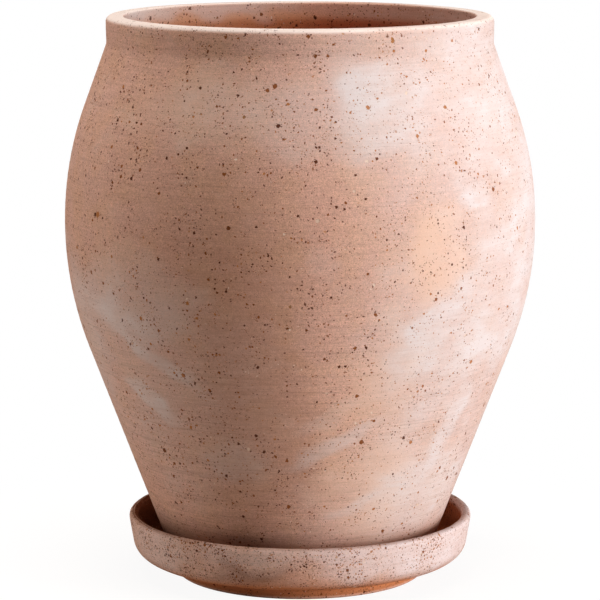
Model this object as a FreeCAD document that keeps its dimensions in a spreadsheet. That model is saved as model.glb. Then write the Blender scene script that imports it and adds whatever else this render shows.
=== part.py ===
import FreeCAD, Part
import math
import os

import Sketcher

# A belly-shaped flower pot of unglazed clay that stands in its own saucer.
# Both are turned on a wheel, so each is a section revolved about the upright axis.
# The origin is the centre of the saucer's foot, on the ground, and +Z is up.
# Lengths are millimetres, angles are degrees, and shares have no unit.

SIZES = {
    # Pot, outside. Its heights count from its own base.
    "rim_radius": 150,
    "rim_flare": 0.6,
    "pot_height": 418.5,
    "band_height": 21.2,
    "belly_swell": 33.1,
    "belly_height": 258.9,
    "base_radius": 103.4,
    # How far each belly arc falls short of the largest one that would reach the base or the neck.
    "taper_share": 0.41,
    "shoulder_share": 0.163,
    "neck_round": 11.6,
    "base_edge_bevel": 1.2,
    # Pot, inside
    "pot_wall": 12,
    "pot_floor": 15,
    "rim_wall": 14,
    "lip_outer_bevel": 2.5,
    "lip_inner_bevel": 1,
    "pot_floor_bevel": 6,
    "drain_radius": 12.5,
    "drain_edge_bevel": 2,
    # Saucer. The water gap is the room between the pot's base and the inside of the saucer's lip.
    "saucer_height": 48.4,
    "saucer_wall": 7.1,
    "saucer_lean": 9.8,
    "saucer_floor": 7.9,
    "water_gap": 25,
    "saucer_lip_bevel": 2.1,
    "saucer_outer_round": 15.1,
    "saucer_inner_bevel": 5,
    "underside_slope": 3.5,
    # Foot of the saucer. It is set in from the edge of the pot's base.
    "foot_inset": 5.8,
    "foot_height": 12.1,
    "foot_flare": 3.8,
    "foot_edge_bevel": 1.8,
    "foot_ring_width": 16,
    "foot_recess": 6,
}

# Sizes that follow from the driving ones.
DERIVED = {
    "neck_radius": "Sizes.rim_radius - Sizes.rim_flare",
    "neck_height": "Sizes.pot_height - Sizes.band_height",
    "mouth_radius": "Sizes.rim_radius - Sizes.rim_wall",
    "belly_radius": "Sizes.rim_radius + Sizes.belly_swell",
    "belly_inner_radius": "Derived.belly_radius - Sizes.pot_wall",
    "taper_inward": "Derived.belly_radius - Sizes.base_radius",
    "shoulder_inward": "Derived.belly_radius - Derived.neck_radius",
    "shoulder_rise": "Derived.neck_height - Sizes.belly_height",
    "lower_arc": "(1 - Sizes.taper_share) * (Derived.taper_inward ^ 2 + Sizes.belly_height ^ 2)"
                 " / (2 * Derived.taper_inward)",
    "upper_arc": "(1 - Sizes.shoulder_share) * (Derived.shoulder_inward ^ 2 + Derived.shoulder_rise ^ 2)"
                 " / (2 * Derived.shoulder_inward)",
    "seat_height": "Sizes.foot_height + Sizes.saucer_floor",
    "saucer_mouth_radius": "Sizes.base_radius + Sizes.water_gap",
    "saucer_lip_width": "Sizes.saucer_wall / cos(Sizes.saucer_lean)",
    "wall_tilt": "90 - Sizes.saucer_lean",
    "foot_tilt": "90 - Sizes.foot_flare",
    # The saucer's round corner is three flats that touch one circle and share the turn evenly.
    "corner_turn": "Derived.wall_tilt - Sizes.underside_slope",
    "corner_low_tilt": "Sizes.underside_slope + Derived.corner_turn / 4",
    "corner_mid_tilt": "Sizes.underside_slope + Derived.corner_turn / 2",
    "corner_high_tilt": "Derived.wall_tilt - Derived.corner_turn / 4",
    "foot_radius": "Sizes.base_radius - Sizes.foot_inset",
    "foot_recess_radius": "Derived.foot_radius - Sizes.foot_ring_width",
}

CORNER_TILTS = ("Derived.corner_low_tilt", "Derived.corner_mid_tilt", "Derived.corner_high_tilt")

# How near an edge has to lie to the ring that a rounding or bevel is meant for.
RING_TOLERANCE = 0.01

# Names for the ends and the centre of a sketch's edge, and for the sketch's origin.
START, END, CENTRE = 1, 2, 3
ORIGIN = (-1, 1)


def make_sheet(doc):
    """Writes the driving sizes into a spreadsheet: a name, a number and an alias in each row."""
    sheet = doc.addObject("Spreadsheet::Sheet", "Sizes")
    for row, (alias, value) in enumerate(SIZES.items(), start=1):
        sheet.set(f"A{row}", alias)
        sheet.set(f"B{row}", str(value))
        sheet.setAlias(f"B{row}", alias)
    doc.recompute()


def make_derived(doc):
    """Binds the sizes that follow from the sheet to it, each by its formula."""
    derived = doc.addObject("App::VarSet", "Derived")
    for name in DERIVED:
        derived.addProperty("App::PropertyFloat", name, "Derived")
    for name, formula in DERIVED.items():
        derived.setExpression(name, formula)
    doc.recompute()


def worth(doc, source):
    """The number behind a source such as Sizes.rim_radius or Derived.neck_height."""
    holder, name = source.split(".")
    return float(getattr(doc.getObject(holder), name))


def polar(centre, radius, angle):
    """The point at an angle on a circle of the section plane."""
    return centre[0] + radius * math.cos(angle), centre[1] + radius * math.sin(angle)


def turn_to_line(arc_radius, inward, rise):
    """The angle that an arc turns from the widest point until it meets its line as a tangent."""
    reach = math.hypot(arc_radius - inward, rise)
    return math.atan2(rise, arc_radius - inward) - math.acos(arc_radius / reach)


def meet(point, angle, other_point, other_angle):
    """The point where two lines cross, each given by a point and its angle."""
    step_x, step_y = other_point[0] - point[0], other_point[1] - point[1]
    along = step_x * math.sin(other_angle) - step_y * math.cos(other_angle)
    along /= math.sin(other_angle - angle)
    return polar(point, along, angle)


class Section:
    """A half section in a body's XZ plane: the sketch's X is the radius and its Y the height."""

    def __init__(self, body, name):
        plane = next(item for item in body.Origin.OriginFeatures if item.Role == "XZ_Plane")
        self.sketch = body.newObject("Sketcher::SketchObject", name)
        self.sketch.AttachmentSupport = (plane, [""])
        self.sketch.MapMode = "FlatFace"

    def line(self, start, end):
        """A straight edge."""
        edge = Part.LineSegment(FreeCAD.Vector(*start, 0), FreeCAD.Vector(*end, 0))
        return self.sketch.addGeometry(edge, False)

    def arc(self, centre, radius, start, end):
        """An arc from one angle round to a larger one, in radians."""
        circle = Part.Circle(FreeCAD.Vector(*centre, 0), FreeCAD.Vector(0, 0, 1), radius)
        return self.sketch.addGeometry(Part.ArcOfCircle(circle, start, end), False)

    def guide_circle(self, centre, radius):
        """A circle that only guides other edges."""
        circle = Part.Circle(FreeCAD.Vector(*centre, 0), FreeCAD.Vector(0, 0, 1), radius)
        return self.sketch.addGeometry(circle, True)

    def rule(self, kind, *where):
        """A constraint without a value."""
        self.sketch.addConstraint(Sketcher.Constraint(kind, *where))

    def size(self, source, kind, *where):
        """A length that is bound to a named value."""
        self.bind(source, worth(self.sketch.Document, source), kind, *where)

    def tilt(self, source, line):
        """A line's angle to the horizontal, bound to a named value in degrees."""
        self.bind(source, math.radians(worth(self.sketch.Document, source)), "Angle", line)

    def bind(self, source, start_value, kind, *where):
        """Adds a dimension, names it after its edge and binds it."""
        number = self.sketch.addConstraint(Sketcher.Constraint(kind, *where, start_value))
        name = f"{source.split('.')[1]}_{kind}_{number}"
        self.sketch.renameConstraint(number, name)
        self.sketch.setExpression(f"Constraints.{name}", source)

    def ring(self, edge, end):
        """Radius and height of an edge's end, as the solver left it."""
        point = self.sketch.getPoint(edge, end)
        return point.x, point.y

    def revolve(self, name):
        """Turns the section once round the axis."""
        body = self.sketch.getParentGeoFeatureGroup()
        turned = body.newObject("PartDesign::Revolution", name)
        turned.Profile = self.sketch
        turned.ReferenceAxis = (self.sketch, ["V_Axis"])
        turned.Angle = 360
        body.Document.recompute()
        return turned


def pot_section(body):
    """The pot's clay: base, taper, belly, shoulder and rim band, then back down the inside."""
    doc = body.Document
    base_radius = worth(doc, "Sizes.base_radius")
    belly_radius = worth(doc, "Derived.belly_radius")
    belly_height = worth(doc, "Sizes.belly_height")
    neck = (worth(doc, "Derived.neck_radius"), worth(doc, "Derived.neck_height"))
    lip = (worth(doc, "Sizes.rim_radius"), worth(doc, "Sizes.pot_height"))
    mouth_radius = worth(doc, "Derived.mouth_radius")
    wall = worth(doc, "Sizes.pot_wall")
    floor_height = worth(doc, "Sizes.pot_floor")
    lower_arc = worth(doc, "Derived.lower_arc")
    upper_arc = worth(doc, "Derived.upper_arc")

    lower_centre = (belly_radius - lower_arc, belly_height)
    upper_centre = (belly_radius - upper_arc, belly_height)
    taper = turn_to_line(lower_arc, belly_radius - base_radius, belly_height)
    slope = turn_to_line(upper_arc, belly_radius - neck[0], neck[1] - belly_height)
    taper_top = polar(lower_centre, lower_arc, -taper)
    shoulder_foot = polar(upper_centre, upper_arc, slope)
    inner_taper_top = polar(lower_centre, lower_arc - wall, -taper)
    inner_shoulder_foot = polar(upper_centre, upper_arc - wall, slope)
    upright = math.pi / 2
    throat = meet(inner_shoulder_foot, upright + slope, (mouth_radius, 0), upright)
    corner = meet(inner_taper_top, upright - taper, (0, floor_height), 0)

    section = Section(body, "pot_section")
    base = section.line((0, 0), (base_radius, 0))
    outer_taper = section.line((base_radius, 0), taper_top)
    outer_lower = section.arc(lower_centre, lower_arc, -taper, 0)
    outer_upper = section.arc(upper_centre, upper_arc, 0, slope)
    outer_shoulder = section.line(shoulder_foot, neck)
    band = section.line(neck, lip)
    lip_top = section.line(lip, (mouth_radius, lip[1]))
    mouth = section.line((mouth_radius, lip[1]), throat)
    inner_shoulder = section.line(throat, inner_shoulder_foot)
    inner_upper = section.arc(upper_centre, upper_arc - wall, 0, slope)
    inner_lower = section.arc(lower_centre, lower_arc - wall, -taper, 0)
    inner_taper = section.line(inner_taper_top, corner)
    floor = section.line(corner, (0, floor_height))
    axis = section.line((0, floor_height), (0, 0))

    section.rule("Coincident", base, START, *ORIGIN)
    section.rule("Horizontal", base)
    section.size("Sizes.base_radius", "DistanceX", *ORIGIN, base, END)
    section.rule("Coincident", base, END, outer_taper, START)
    section.rule("Tangent", outer_taper, END, outer_lower, START)
    section.size("Derived.belly_radius", "DistanceX", *ORIGIN, outer_lower, END)
    section.size("Sizes.belly_height", "DistanceY", *ORIGIN, outer_lower, END)
    section.rule("Horizontal", outer_lower, CENTRE, outer_lower, END)
    section.size("Derived.lower_arc", "Radius", outer_lower)
    section.rule("Tangent", outer_lower, END, outer_upper, START)
    section.size("Derived.upper_arc", "Radius", outer_upper)
    section.rule("Tangent", outer_upper, END, outer_shoulder, START)
    section.size("Derived.neck_radius", "DistanceX", *ORIGIN, outer_shoulder, END)
    section.size("Derived.neck_height", "DistanceY", *ORIGIN, outer_shoulder, END)
    section.rule("Coincident", outer_shoulder, END, band, START)
    section.size("Sizes.rim_radius", "DistanceX", *ORIGIN, band, END)
    section.size("Sizes.pot_height", "DistanceY", *ORIGIN, band, END)
    section.rule("Coincident", band, END, lip_top, START)
    section.rule("Horizontal", lip_top)
    section.size("Derived.mouth_radius", "DistanceX", *ORIGIN, lip_top, END)
    section.rule("Coincident", lip_top, END, mouth, START)
    section.rule("Vertical", mouth)
    section.rule("Coincident", mouth, END, inner_shoulder, START)
    section.rule("Parallel", outer_shoulder, inner_shoulder)
    section.rule("Tangent", inner_shoulder, END, inner_upper, END)
    section.rule("Coincident", inner_upper, CENTRE, outer_upper, CENTRE)
    section.size("Derived.belly_inner_radius", "DistanceX", *ORIGIN, inner_upper, START)
    section.size("Sizes.belly_height", "DistanceY", *ORIGIN, inner_upper, START)
    section.rule("Coincident", inner_upper, START, inner_lower, END)
    section.rule("Coincident", inner_lower, CENTRE, outer_lower, CENTRE)
    section.rule("Tangent", inner_lower, START, inner_taper, START)
    section.rule("Parallel", outer_taper, inner_taper)
    section.rule("Coincident", inner_taper, END, floor, START)
    section.rule("Horizontal", floor)
    section.size("Sizes.pot_floor", "DistanceY", *ORIGIN, floor, END)
    section.rule("Coincident", floor, END, axis, START)
    section.rule("Vertical", axis)
    section.rule("Coincident", axis, END, base, START)

    rings = {
        "base_edge": (base, END),
        "neck": (band, START),
        "lip_outer": (band, END),
        "lip_inner": (lip_top, END),
        "floor": (floor, START),
    }
    return section, rings


def saucer_section(body):
    """The saucer's clay: foot, underside, round corner, leaning wall and lip, then back over the floor."""
    doc = body.Document
    foot_radius = worth(doc, "Derived.foot_radius")
    foot_height = worth(doc, "Sizes.foot_height")
    seat_height = worth(doc, "Derived.seat_height")
    lip_inside = (worth(doc, "Derived.saucer_mouth_radius"), worth(doc, "Sizes.saucer_height"))
    lip_outside = (lip_inside[0] + worth(doc, "Derived.saucer_lip_width"), lip_inside[1])
    corner_round = worth(doc, "Sizes.saucer_outer_round")
    wall_tilt = math.radians(worth(doc, "Derived.wall_tilt"))
    foot_tilt = math.radians(worth(doc, "Derived.foot_tilt"))
    slope = math.radians(worth(doc, "Sizes.underside_slope"))
    upright = math.pi / 2

    foot_top = meet((foot_radius, 0), foot_tilt, (0, foot_height), 0)
    outer_corner = meet(lip_outside, wall_tilt, foot_top, slope)
    inner_corner = meet(lip_inside, wall_tilt, (0, seat_height), 0)
    round_start = polar(outer_corner, -corner_round * math.tan((wall_tilt - slope) / 2), slope)
    round_centre = polar(round_start, corner_round, slope + upright)
    tilts = [slope] + [math.radians(worth(doc, source)) for source in CORNER_TILTS] + [wall_tilt]
    touches = [polar(round_centre, corner_round, tilt - upright) for tilt in tilts]
    bends = [meet(touches[i], tilts[i], touches[i + 1], tilts[i + 1]) for i in range(len(tilts) - 1)]

    section = Section(body, "saucer_section")
    bottom = section.line((0, 0), (foot_radius, 0))
    foot_side = section.line((foot_radius, 0), foot_top)
    underside = section.line(foot_top, bends[0])
    flats = [section.line(start, end) for start, end in zip(bends, bends[1:])]
    outer_wall = section.line(bends[-1], lip_outside)
    lip = section.line(lip_outside, lip_inside)
    inner_wall = section.line(lip_inside, inner_corner)
    floor = section.line(inner_corner, (0, seat_height))
    axis = section.line((0, seat_height), (0, 0))
    corner = section.guide_circle(round_centre, corner_round)

    section.rule("Coincident", bottom, START, *ORIGIN)
    section.rule("Horizontal", bottom)
    section.size("Derived.foot_radius", "DistanceX", *ORIGIN, bottom, END)
    section.rule("Coincident", bottom, END, foot_side, START)
    section.tilt("Derived.foot_tilt", foot_side)
    section.size("Sizes.foot_height", "DistanceY", *ORIGIN, foot_side, END)
    section.rule("Coincident", foot_side, END, underside, START)
    section.tilt("Sizes.underside_slope", underside)
    section.size("Sizes.saucer_outer_round", "Radius", corner)
    for flat, source in zip(flats, CORNER_TILTS):
        section.tilt(source, flat)
    section.tilt("Derived.wall_tilt", outer_wall)
    chain = [underside, *flats, outer_wall]
    for edge, next_edge in zip(chain, chain[1:]):
        section.rule("Coincident", edge, END, next_edge, START)
    for edge in chain:
        section.rule("Tangent", edge, corner)
    section.rule("Coincident", outer_wall, END, lip, START)
    section.rule("Horizontal", lip)
    section.size("Derived.saucer_mouth_radius", "DistanceX", *ORIGIN, lip, END)
    section.size("Sizes.saucer_height", "DistanceY", *ORIGIN, lip, END)
    section.size("Derived.saucer_lip_width", "DistanceX", lip, END, lip, START)
    section.rule("Coincident", lip, END, inner_wall, START)
    section.rule("Parallel", outer_wall, inner_wall)
    section.rule("Coincident", inner_wall, END, floor, START)
    section.rule("Horizontal", floor)
    section.size("Derived.seat_height", "DistanceY", *ORIGIN, floor, END)
    section.rule("Coincident", floor, END, axis, START)
    section.rule("Vertical", axis)
    section.rule("Coincident", axis, END, bottom, START)

    rings = {
        "foot_edge": (bottom, END),
        "lip_outer": (lip, START),
        "lip_inner": (lip, END),
        "inner_corner": (inner_wall, END),
    }
    return section, rings


def bore_up(body, name, radius_source, depth_source=None):
    """Cuts a round hole upwards from the body's base, to a depth or else right through."""
    doc = body.Document
    plane = next(item for item in body.Origin.OriginFeatures if item.Role == "XY_Plane")
    sketch = body.newObject("Sketcher::SketchObject", f"{name}_circle")
    sketch.AttachmentSupport = (plane, [""])
    sketch.MapMode = "FlatFace"
    radius = worth(doc, radius_source)
    circle = Part.Circle(FreeCAD.Vector(), FreeCAD.Vector(0, 0, 1), radius)
    number = sketch.addGeometry(circle, False)
    sketch.addConstraint(Sketcher.Constraint("Coincident", number, CENTRE, *ORIGIN))
    size = sketch.addConstraint(Sketcher.Constraint("Radius", number, radius))
    sketch.setExpression(f"Constraints[{size}]", radius_source)

    before = body.Shape.Volume
    pocket = body.newObject("PartDesign::Pocket", name)
    pocket.Profile = sketch
    pocket.Reversed = True
    if depth_source:
        pocket.setExpression("Length", depth_source)
    else:
        pocket.Type = "ThroughAll"
    doc.recompute()
    if not pocket.Shape.Volume < before:
        raise RuntimeError(f"{name} cut nothing")
    return pocket


def ring_edge(shape, radius, height):
    """The name of the round edge with this radius at this height."""
    for number, edge in enumerate(shape.Edges, start=1):
        curve = edge.Curve
        if not isinstance(curve, Part.Circle):
            continue
        if abs(curve.Radius - radius) < RING_TOLERANCE and abs(curve.Center.z - height) < RING_TOLERANCE:
            return f"Edge{number}"
    raise RuntimeError(f"no round edge of radius {radius} at height {height}")


def round_ring(body, name, source, *rings):
    """Rounds one or more circular edges of the body with a named radius."""
    return dress_ring(body, "PartDesign::Fillet", "Radius", name, source, rings)


def bevel_ring(body, name, source, *rings):
    """Bevels one or more circular edges of the body by a named width along both faces."""
    return dress_ring(body, "PartDesign::Chamfer", "Size", name, source, rings)


def dress_ring(body, kind, measure, name, source, rings):
    """Adds a fillet or a chamfer whose measure is bound to a named value."""
    base = body.Tip
    feature = body.newObject(kind, name)
    feature.Base = (base, [ring_edge(base.Shape, *ring) for ring in rings])
    feature.setExpression(measure, source)
    body.Document.recompute()
    return feature


def make_pot(doc):
    """The pot: a revolved shell of even thickness, a drainage hole and its softened edges."""
    body = doc.addObject("PartDesign::Body", "pot")
    section, rings = pot_section(body)
    section.revolve("pot_turning")
    at = {name: section.ring(*where) for name, where in rings.items()}
    bore_up(body, "drain_hole", "Sizes.drain_radius")
    drain_radius = worth(doc, "Sizes.drain_radius")
    floor_height = worth(doc, "Sizes.pot_floor")
    round_ring(body, "neck_crease", "Sizes.neck_round", at["neck"])
    bevel_ring(body, "lip_outside", "Sizes.lip_outer_bevel", at["lip_outer"])
    bevel_ring(body, "lip_inside", "Sizes.lip_inner_bevel", at["lip_inner"])
    bevel_ring(body, "floor_corner", "Sizes.pot_floor_bevel", at["floor"])
    bevel_ring(body, "base_edge", "Sizes.base_edge_bevel", at["base_edge"])
    bevel_ring(body, "drain_edges", "Sizes.drain_edge_bevel", (drain_radius, 0), (drain_radius, floor_height))
    body.Label = "pot"
    body.setExpression("Placement.Base.z", "Derived.seat_height")
    return body


def make_saucer(doc):
    """The saucer: a revolved dish with a round corner, a softened lip and a turned foot ring."""
    body = doc.addObject("PartDesign::Body", "saucer")
    section, rings = saucer_section(body)
    section.revolve("saucer_turning")
    at = {name: section.ring(*where) for name, where in rings.items()}
    bore_up(body, "foot_recess", "Derived.foot_recess_radius", "Sizes.foot_recess")
    recess_rim = (worth(doc, "Derived.foot_recess_radius"), 0)
    bevel_ring(body, "lip_edges", "Sizes.saucer_lip_bevel", at["lip_outer"], at["lip_inner"])
    bevel_ring(body, "inner_corner", "Sizes.saucer_inner_bevel", at["inner_corner"])
    bevel_ring(body, "foot_edges", "Sizes.foot_edge_bevel", at["foot_edge"], recess_rim)
    body.Label = "saucer"
    return body


def check(doc, bodies):
    """Stops before anything is written if a step failed or a body isn't one sound solid."""
    for item in doc.Objects:
        if "Invalid" in item.State or "Error" in item.State:
            raise RuntimeError(f"{item.Name} failed: {item.State}")
    for body in bodies:
        shape = body.Shape
        if shape.isNull() or not shape.isValid() or len(shape.Solids) != 1:
            raise RuntimeError(f"{body.Label} is not one sound solid")


def main():
    """Builds both bodies, checks them and writes one file for each."""
    doc = FreeCAD.newDocument("FlowerPot")
    make_sheet(doc)
    make_derived(doc)
    bodies = [make_saucer(doc), make_pot(doc)]
    doc.recompute()
    check(doc, bodies)
    os.makedirs("parts", exist_ok=True)
    for body in bodies:
        body.Shape.exportStep(f"parts/{body.Label}.step")
        box = body.Shape.BoundBox
        print(body.Label, f"{body.Shape.Volume / 1e3:.0f} cm3, height {box.ZMin:.2f} to {box.ZMax:.2f}")


main()
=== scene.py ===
"""Looks of a belly-shaped flower pot of unglazed clay in its saucer.

Both pieces are surfaces of revolution, worked out with numpy and dressed in one kind of clay finish.
Lengths are metres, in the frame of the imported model: +Z is up and the saucer stands on z = 0.
Azimuths are degrees about the upright axis: 0 faces the camera (-Y), and 90 is the right side (+X).
"""
import logging
import math
from dataclasses import dataclass, field
from enum import Enum

import bpy
import numpy as np
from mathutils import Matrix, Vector


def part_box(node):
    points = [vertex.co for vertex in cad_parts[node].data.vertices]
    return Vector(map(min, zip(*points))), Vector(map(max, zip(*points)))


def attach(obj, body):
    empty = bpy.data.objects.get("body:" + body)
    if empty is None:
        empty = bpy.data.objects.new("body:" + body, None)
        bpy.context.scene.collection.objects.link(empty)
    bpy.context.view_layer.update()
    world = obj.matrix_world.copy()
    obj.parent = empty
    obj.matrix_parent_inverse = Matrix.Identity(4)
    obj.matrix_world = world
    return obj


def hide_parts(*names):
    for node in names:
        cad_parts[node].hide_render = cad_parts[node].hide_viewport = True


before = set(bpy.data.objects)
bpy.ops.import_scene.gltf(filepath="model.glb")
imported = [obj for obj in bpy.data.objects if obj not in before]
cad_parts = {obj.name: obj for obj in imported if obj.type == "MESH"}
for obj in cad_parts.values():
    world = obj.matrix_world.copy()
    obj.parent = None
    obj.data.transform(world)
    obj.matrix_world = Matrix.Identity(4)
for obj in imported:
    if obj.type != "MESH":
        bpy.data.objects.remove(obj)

logging.basicConfig(level=logging.INFO, format="%(message)s")
log = logging.getLogger("flower_pot")

WHITE = (1.0, 1.0, 1.0)

# How finely a section is divided: points of a rounding at the least, how many of its steps fit into
# its radius, and the gap under which two points are one
ROUND_POINTS = 3
ROUND_STEPS = 4.0
NEAREST = 0.00001

# A mark is at full strength up to this share of its size, and further out the boxier it is
SOFT_MIDDLE = 0.19
BOXY_MIDDLE = 0.08


class Mask(Enum):
    """What a place on the clay shows more of, painted light and shade among it. Each is a point attribute
    of the mesh.
    """

    BLOOM = "bloom"      # pale lime and salts that have come out of the clay, and painted light on the sides that face the key lamp
    WARM = "warm"        # ochre tinge from the fire
    STAIN = "stain"      # brown marks of water and handling, and painted shade in the gap above the saucer, in the hollows, down the pot's front and round the saucer's foot and lip
    WEAR = "wear"        # rubbed lip, and painted light along the bottom edge of the saucer's foot
    INSIDE = "inside"    # the hollow's own wall, painted darker as shade in the saucer's dish and redder as shade inside the pot's rim band on the right
    BARE = "bare"        # bright orange clay without any film


class Lamp(Enum):
    """What a lamp of the studio is for."""

    KEY = "key"
    HIGH = "high"
    FILL = "fill"
    TOP = "top"


# Geometry

@dataclass(frozen=True)
class Corner:
    """A corner of a turned section, and how finely the section is divided from it to the next one."""

    radius: float
    height: float
    rounding: float = 0.0
    step: float = 0.0022


@dataclass(frozen=True)
class Patch:
    """A soft-edged mark on a piece, in the surface's own plane.

    Its strength is full in the middle and fades to none at the edge of an oval of the given half
    width and half rise, which is turned by lean. A squareness of 2 is an oval, and more is boxier.
    """

    mask: Mask
    azimuth: float
    height: float
    half_width: float
    half_rise: float
    strength: float
    lean: float = 0.0
    squareness: float = 2.0
    inner: bool = False

    def worth(self, radius: np.ndarray, azimuth: np.ndarray, height: np.ndarray) -> np.ndarray:
        """Strength of the mark at every point.

        With u and v as the distances along and up the surface from the middle, turned by lean, the
        distance is (|u / half width| ^ n + |v / half rise| ^ n) ^ (1 / n), and the strength falls
        towards the edge as a smooth step, which is the steeper the boxier the mark is.

        Args:
            radius: Distance of the points from the axis.
            azimuth: Azimuths of the points in degrees.
            height: Heights of the points.

        Returns:
            The strength at each point, from 0 up to the mark's own.
        """
        turn = (azimuth - self.azimuth + 180.0) % 360.0 - 180.0
        along, up = np.radians(turn) * radius, height - self.height
        cosine, sine = math.cos(math.radians(self.lean)), math.sin(math.radians(self.lean))
        u = np.abs(along * cosine + up * sine) / self.half_width
        v = np.abs(up * cosine - along * sine) / self.half_rise
        distance = (u ** self.squareness + v ** self.squareness) ** (1.0 / self.squareness)
        return self.strength * smooth_step(1.0, SOFT_MIDDLE + BOXY_MIDDLE * self.squareness, distance)


def smooth_step(start: float, end: float, value: np.ndarray) -> np.ndarray:
    """Rises from 0 at start to 1 at end as 3 t^2 - 2 t^3, where t is the clipped share of the way.

    Args:
        start: Value at which the step begins.
        end: Value at which it is complete, which may be the smaller one.
        value: Values to turn into shares.

    Returns:
        A share from 0 to 1 for each value.
    """
    share = np.clip((value - start) / (end - start), 0.0, 1.0)
    return share * share * (3.0 - 2.0 * share)


def divided_section(corners: list[Corner], closed: bool) -> np.ndarray:
    """A section line through corners, with each corner rounded and each stretch divided evenly.

    A rounding of radius q at a corner that turns by t begins q tan(t / 2) before the corner, and
    its points lie on the circle that touches both sides there.

    Args:
        corners: The corners in order, with the clay on the left of the way.
        closed: Whether the line returns from the last corner to the first.

    Returns:
        The points of the line as rows of radius and height.
    """
    count = len(corners)
    places = np.array([(corner.radius, corner.height) for corner in corners])
    starts, ends, arcs = [], [], []
    for i, corner in enumerate(corners):
        here = places[i]
        if corner.rounding == 0.0 or (not closed and i in (0, count - 1)):
            starts.append(here)
            ends.append(here)
            arcs.append(here[None, :])
            continue
        before, after = here - places[i - 1], places[(i + 1) % count] - here
        before, after = before / np.hypot(*before), after / np.hypot(*after)
        turn = math.atan2(before[0] * after[1] - before[1] * after[0], float(before @ after))
        reach = corner.rounding * math.tan(abs(turn) / 2.0)
        side = math.copysign(1.0, turn)
        inward = side * np.array([-before[1], before[0]])
        start = here - before * reach
        centre = start + inward * corner.rounding
        step = min(corner.step, corner.rounding / ROUND_STEPS)
        pieces = max(ROUND_POINTS, math.ceil(abs(turn) * corner.rounding / step))
        swing = np.linspace(0.0, turn, pieces + 1)[:, None]
        arm = start - centre
        arcs.append(centre + arm * np.cos(swing) + np.array([-arm[1], arm[0]]) * np.sin(swing))
        starts.append(arcs[-1][0])
        ends.append(arcs[-1][-1])
    line = []
    for i in range(count):
        line.append(arcs[i])
        if not closed and i == count - 1:
            break
        gap = starts[(i + 1) % count] - ends[i]
        pieces = max(1, round(float(np.hypot(*gap)) / corners[i].step))
        shares = np.arange(1, pieces)[:, None] / pieces
        line.append(ends[i] + gap * shares)
    points = np.concatenate(line)
    apart = np.hypot(*(points - np.roll(points, 1, axis=0)).T) > NEAREST
    return points[apart]


class Waves:
    """Smooth seeded unevenness: a sum of waves round the axis and up it, from about -1 to 1."""

    def __init__(self, seed: int, rounds: tuple[int, ...], rises: tuple[float, ...]) -> None:
        """Draws the phases.

        Args:
            seed: Seed of the draw.
            rounds: How many times each wave repeats in one turn, so that it closes on itself.
            rises: How many radians each wave advances per metre of height.
        """
        draw = np.random.default_rng(seed)
        self.rounds, self.rises = rounds, rises
        self.phases = draw.uniform(0.0, 2.0 * math.pi, len(rounds))

    def at(self, turn: np.ndarray, height: np.ndarray) -> np.ndarray:
        """Mean of cos(rounds turn + rise height + phase) over the waves.

        Args:
            turn: Angles about the axis in radians.
            height: Heights.

        Returns:
            The unevenness at each point.
        """
        waves = [np.cos(n * turn + rise * height + phase)
                 for n, rise, phase in zip(self.rounds, self.rises, self.phases)]
        return sum(waves) / len(waves)


# How far the marks are pushed along and up the surface, so that none has a regular outline
WARP = 0.009
WARP_ALONG = Waves(41, (3, 5, 9, 14, 23), (31.0, -53.0, 84.0, -137.0, 211.0))
WARP_UP = Waves(43, (2, 6, 8, 15, 21), (-37.0, 48.0, -95.0, 122.0, -190.0))
WARP_RADIUS = 0.02


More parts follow.
